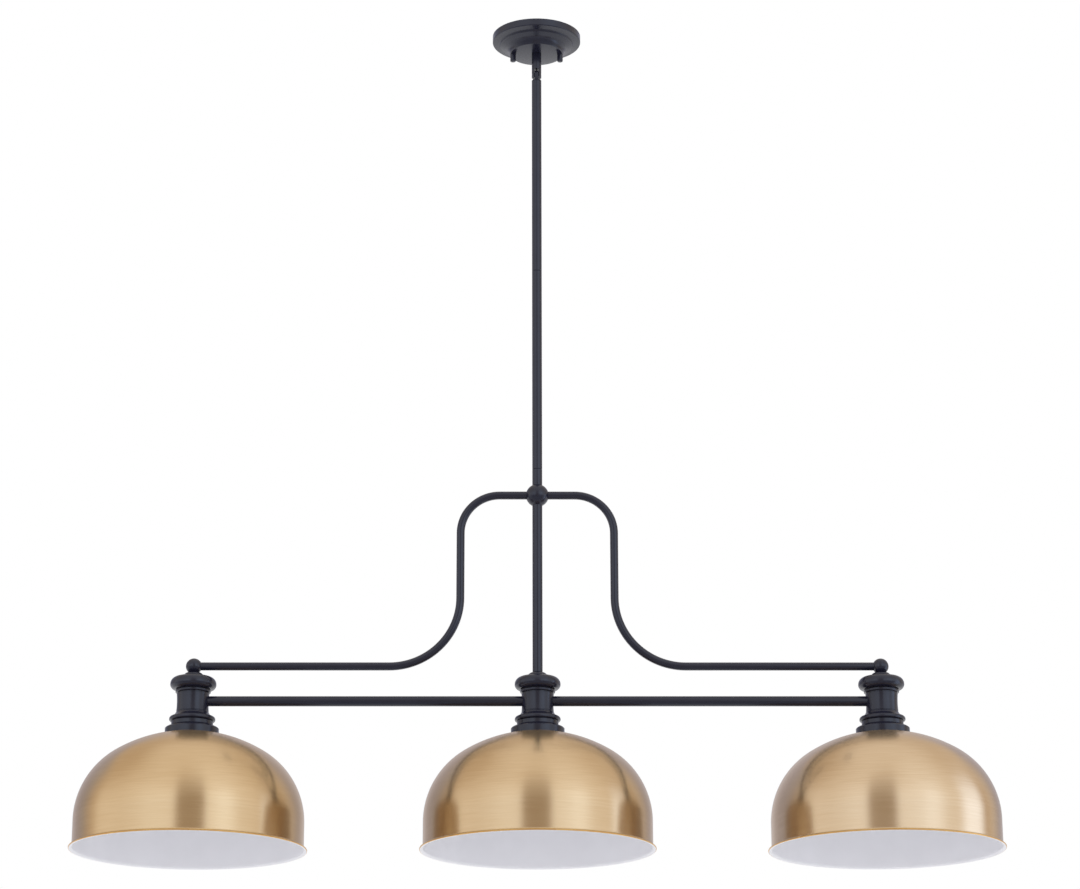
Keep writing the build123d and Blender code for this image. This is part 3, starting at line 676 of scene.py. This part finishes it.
kept = [
    (black_enamel, ["swivel_fork", "swivel_pivots"]),
    (zinc_plate, ["crossbar", "canopy_studs", "stud_nuts", "swivel_washer", "swivel_nut"]),
    (zinc_plate, ["rod_nipples", "hub_nipples", "column_nuts"]),
    (zinc_plate, [f"{side}_column_nipple" for side in SIDES]),
    (ground_green, ["ground_screw"]),
    (shell_metal, [f"{side}_centre_contact" for side in SIDES]),
    (line_sleeve, ["line_leads", "swivel_line_lead"]),
    (neutral_sleeve, ["neutral_leads", "swivel_neutral_lead"]),
    (splice_plastic, ["wire_splices"]),
]
for material, nodes in kept:
    for name in nodes:
        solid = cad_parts[name]
        solid.data.materials.clear()
        solid.data.materials.append(material)


# Studio: the floor, and two panels that only gloss sees

FLOOR = -2.45
FLOOR_SIDE = 18.0
FADE_START, FADE_END = 2.5, 8.0
ALONG_ROW, FRONT_TO_BACK = 0, 1

scene.view_settings.view_transform = "Standard"
pale_floor = coated("pale_floor", (0.84, 0.84, 0.84), (0.87, 0.87, 0.87), (0.6, 0.7), grain=60.0)


def studio_sheet(name, width, depth, place, facing, material):
    """A flat sheet of the studio, such as the floor."""
    bm = bmesh.new()
    bmesh.ops.create_grid(bm, x_segments=1, y_segments=1, size=0.5)
    bmesh.ops.scale(bm, verts=bm.verts, vec=(width, depth, 1))
    bmesh.ops.rotate(bm, verts=bm.verts, cent=(0, 0, 0), matrix=facing)
    bmesh.ops.translate(bm, verts=bm.verts, vec=place)
    mesh = bpy.data.meshes.new(name)
    bm.to_mesh(mesh)
    bm.free()
    mesh.materials.append(material)
    sheet = bpy.data.objects.new(name, mesh)
    scene.collection.objects.link(sheet)
    return sheet


def fade_floor(material):
    """Lets the floor fade into the white far off, and be seen through from below."""
    node = wiring(material.node_tree)
    across, deep, _ = node("ShaderNodeSeparateXYZ", place_on(material))
    flat = node("ShaderNodeCombineXYZ", across, deep, 0.0)
    reach = node("ShaderNodeVectorMath", flat, operation="LENGTH").node.outputs["Value"]
    far_off = node("ShaderNodeMapRange", reach, FADE_START, FADE_END, 0.0, 1.0)
    far_off.node.interpolation_type = "SMOOTHSTEP"
    below = material.node_tree.nodes.new("ShaderNodeNewGeometry").outputs["Backfacing"]
    clear = node("ShaderNodeMath", far_off, below, operation="MAXIMUM")
    paint = material.node_tree.nodes["Principled BSDF"].outputs["BSDF"]
    shown = node("ShaderNodeMixShader", clear, paint, node("ShaderNodeBsdfTransparent"))
    material.node_tree.links.new(shown, material.node_tree.nodes["Material Output"].inputs["Surface"])


fade_floor(pale_floor)
floor = studio_sheet("studio_floor", FLOOR_SIDE, FLOOR_SIDE, (0, 0, FLOOR), Matrix.Identity(3), pale_floor)
floor.visible_glossy = False


def soft_panel(name, light, run, place, size, beside_fade, height_fade):
    """A glowing upright panel with soft edges along its run, seen in gloss alone."""
    material = bpy.data.materials.new(name)
    material.use_nodes = True
    material.node_tree.nodes.clear()
    node = wiring(material.node_tree)
    spots = node("ShaderNodeSeparateXYZ", place_on(material))
    off_centre = node("ShaderNodeMath", spots[run], place[run], operation="SUBTRACT")
    aside = node("ShaderNodeMath", off_centre, operation="ABSOLUTE")
    beside = node("ShaderNodeMapRange", aside, *beside_fade, 1.0, 0.0)
    below = node("ShaderNodeMapRange", spots[2], *height_fade, 1.0, 0.0)
    for soft_edge in (beside, below):
        soft_edge.node.interpolation_type = "SMOOTHSTEP"
    cover = node("ShaderNodeMath", beside, below, operation="MULTIPLY")
    clear = node("ShaderNodeBsdfTransparent")
    glow = node("ShaderNodeEmission", light, Strength=1.0)
    node("ShaderNodeOutputMaterial", node("ShaderNodeMixShader", cover, clear, glow))
    upright = Matrix.Rotation(QUARTER_TURN, 3, "X")
    facing = upright if run == ALONG_ROW else Matrix.Rotation(QUARTER_TURN, 3, "Z") @ upright
    panel = studio_sheet(name, *size, place, facing, material)
    panel.visible_camera = False
    panel.visible_diffuse = False
    panel.visible_shadow = False
    panel.visible_transmission = False
    panel.visible_volume_scatter = False


soft_panel("dim_panel", light=(0.43, 0.37, 0.31, 1.0), run=ALONG_ROW, place=(-0.09, -3.1, 0.45),
           size=(2.2, 5.1), beside_fade=(0.54, 1.02), height_fade=(-0.9, 3.0))
soft_panel("right_lamp_panel", light=(1.40, 1.62, 2.05, 1.0), run=FRONT_TO_BACK, place=(1.55, -0.12, -0.8),
           size=(0.9, 2.0), beside_fade=(0.12, 0.40), height_fade=(-1.10, -0.10))


# Studio light: white behind the object, and a room that its gloss sees

WHITE = (1.0, 1.0, 1.0, 1.0)
SOFT_WHITE = (0.98, 0.975, 1.0, 1.0)
DARK = (0.0, 0.0, 0.0, 1.0)
WARM, COOL = 0.75, 1.35

# Marks of (azimuth in degrees, level): zero is towards the camera, the right is positive
LOW_WALLS = [
    (-180, 0.55), (-130, 0.50), (-114, 0.54), (-104, 0.64), (-94, 0.98), (-80, 1.02), (-64, 1.02),
    (-50, 1.12), (-36, 1.26), (-20, 1.29), (0, 1.29), (20, 1.31), (30, 1.40), (38, 1.58), (46, 1.54),
    (58, 1.13), (74, 1.01), (84, 0.80), (94, 0.50), (112, 0.50), (124, 0.72), (134, 0.70), (150, 0.60),
    (180, 0.55),
]
HIGH_WALLS = [
    (-180, 0.62), (-120, 0.56), (-90, 0.64), (-60, 0.84), (-30, 0.92), (0, 0.86), (30, 1.05), (60, 0.96),
    (90, 0.74), (120, 0.70), (180, 0.62),
]
BEHIND = [(-180, 1.0), (-125, 1.0), (-105, 0.0), (118, 0.0), (146, 1.0), (180, 1.0)]
ROOF = 0.90

# Marks of (way to the back, colour) for the grey sheet behind the object and for the ground
SHEET_LIGHT = [
    (0.50, (0.46, 0.47, 0.55, 1.0)), (0.72, (0.46, 0.47, 0.59, 1.0)),
    (0.86, (0.60, 0.60, 0.69, 1.0)), (0.97, (0.88, 0.87, 0.92, 1.0)),
]
SHEET_FOOT = (0.34, 0.33, 0.38, 1.0)
SHEET_FOOT_SHARE = 0.45
GROUND = [(0.0, (0.42, 0.42, 0.45, 1.0)), (1.0, (0.98, 0.98, 1.0, 1.0))]

# Where one part of the room changes into the next, as the upward or backward part of a way
LOW_TO_HIGH = (0.25, 0.65)
HIGH_TO_ROOF = (0.85, 0.97)
ROOF_TO_SHEET = (0.70, 0.60)
SHEET_TO_FOOT = (0.55, 0.28)
NEAR_TO_FAR_GROUND = (-0.6, 0.3)
GROUND_TO_WALLS = (-0.15, 0.05)

# The room is dimmer where one shade shows it in another
SEEN_ONCE = 1.5
TWICE_DIMMED = 0.4

world = bpy.data.worlds.new("white_studio")
scene.world = world
world.use_nodes = True
world.node_tree.nodes.clear()
air = wiring(world.node_tree)
rays = world.node_tree.nodes.new("ShaderNodeLightPath").outputs
way = world.node_tree.nodes.new("ShaderNodeTexCoord").outputs["Generated"]
way_x, way_y, way_z = air("ShaderNodeSeparateXYZ", way)


def lamp_light(level):
    """Light that is a little warm where it is dim and cool where it is bright."""
    return (level ** WARM, level, level ** COOL, 1.0)


def grey(level):
    """A plain grey of this level."""
    return (level, level, level, 1.0)


def ramp_of(factor, marks):
    """A ramp of colours through (position, colour) marks."""
    ramp = air("ShaderNodeValToRGB", factor)
    stops = ramp.node.color_ramp.elements
    for position, colour in marks[1:-1]:
        stops.new(position).color = colour
    for stop, (position, colour) in ((stops[0], marks[0]), (stops[len(stops) - 1], marks[-1])):
        stop.position = position
        stop.color = colour
    return ramp


def round_room(marks, colour_of):
    """A ramp round the room, from marks of azimuth and level."""
    return ramp_of(azimuth, [((angle + 180) / 360, colour_of(level)) for angle, level in marks])


def eased(factor, start, end):
    """A share that grows from none at start to all at end."""
    return air("ShaderNodeMapRange", factor, start, end, 0.0, 1.0)


def both(first, second):
    """One share of another."""
    return air("ShaderNodeMath", first, second, operation="MULTIPLY")


def blended(share, first, second):
    """The first colour changed into the second by a share."""
    return air("ShaderNodeMixRGB", share, first, second)


to_camera = air("ShaderNodeMath", way_y, -1.0, operation="MULTIPLY")
azimuth = eased(air("ShaderNodeMath", way_x, to_camera, operation="ARCTAN2"), -math.pi, math.pi)
low_walls = round_room(LOW_WALLS, lamp_light)
high_walls = round_room(HIGH_WALLS, lamp_light)
walls = blended(eased(way_z, *LOW_TO_HIGH), low_walls, high_walls)
room = blended(eased(way_z, *HIGH_TO_ROOF), walls, lamp_light(ROOF))

behind = round_room(BEHIND, grey)
near_foot = both(eased(way_z, *SHEET_TO_FOOT), SHEET_FOOT_SHARE)
sheet_light = blended(near_foot, ramp_of(way_y, SHEET_LIGHT), SHEET_FOOT)
room = blended(both(behind, eased(way_z, *ROOF_TO_SHEET)), room, sheet_light)

ground = ramp_of(eased(way_y, *NEAR_TO_FAR_GROUND), GROUND)
room = blended(eased(way_z, *GROUND_TO_WALLS), ground, room)

seen_twice = air("ShaderNodeMath", rays["Glossy Depth"], SEEN_ONCE, operation="GREATER_THAN")
room = blended(both(seen_twice, TWICE_DIMMED), room, DARK)

soft = air("ShaderNodeBackground", SOFT_WHITE, Strength=1.0)
white = air("ShaderNodeBackground", WHITE, Strength=1.0)
gloss = air("ShaderNodeBackground", room, Strength=1.0)
seen = air("ShaderNodeMath", rays["Is Camera Ray"], rays["Is Transmission Ray"], operation="MAXIMUM")
lit = air("ShaderNodeMixShader", rays["Is Glossy Ray"], soft, gloss)
air("ShaderNodeOutputWorld", air("ShaderNodeMixShader", seen, lit, white))

SOFTBOX_WIDTH, SOFTBOX_HEIGHT = 1.2, 2.4


def softbox(name, place, aim, power):
    """A tall rectangular lamp that faces its aim."""
    lamp = bpy.data.lights.new(name, "AREA")
    lamp.shape = "RECTANGLE"
    lamp.size = SOFTBOX_WIDTH
    lamp.size_y = SOFTBOX_HEIGHT
    lamp.energy = power
    held = bpy.data.objects.new(name, lamp)
    scene.collection.objects.link(held)
    held.visible_glossy = False
    held.location = place
    held.rotation_euler = (Vector(aim) - Vector(place)).to_track_quat("-Z", "Y").to_euler()


softbox("front_right_softbox", place=(2.9, -3.6, 0.6), aim=(0.2, 0, -1.0), power=14)
softbox("front_left_softbox", place=(-2.9, -3.6, 0.6), aim=(-0.2, 0, -1.0), power=8)


# Camera

EYE = (-0.035, -4.168, -1.938)
YAW, PITCH, ROLL = math.radians(0.537), math.radians(17.24), math.radians(-0.117)
SENSOR_WIDTH = 36.0
FOCAL_LENGTH = 100.46

ahead = Vector((math.sin(YAW) * math.cos(PITCH), math.cos(YAW) * math.cos(PITCH), math.sin(PITCH)))
level = Vector((math.cos(YAW), -math.sin(YAW), 0.0))
upright = level.cross(ahead)
side_axis = level * math.cos(ROLL) + upright * math.sin(ROLL)
top_axis = upright * math.cos(ROLL) - level * math.sin(ROLL)
lens = bpy.data.cameras.new("photo_camera")
lens.sensor_width = SENSOR_WIDTH
lens.lens = FOCAL_LENGTH
camera = bpy.data.objects.new("photo_camera", lens)
scene.collection.objects.link(camera)
camera.matrix_world = Matrix.Translation(EYE) @ Matrix((side_axis, top_axis, -ahead)).transposed().to_4x4()
scene.camera = camera
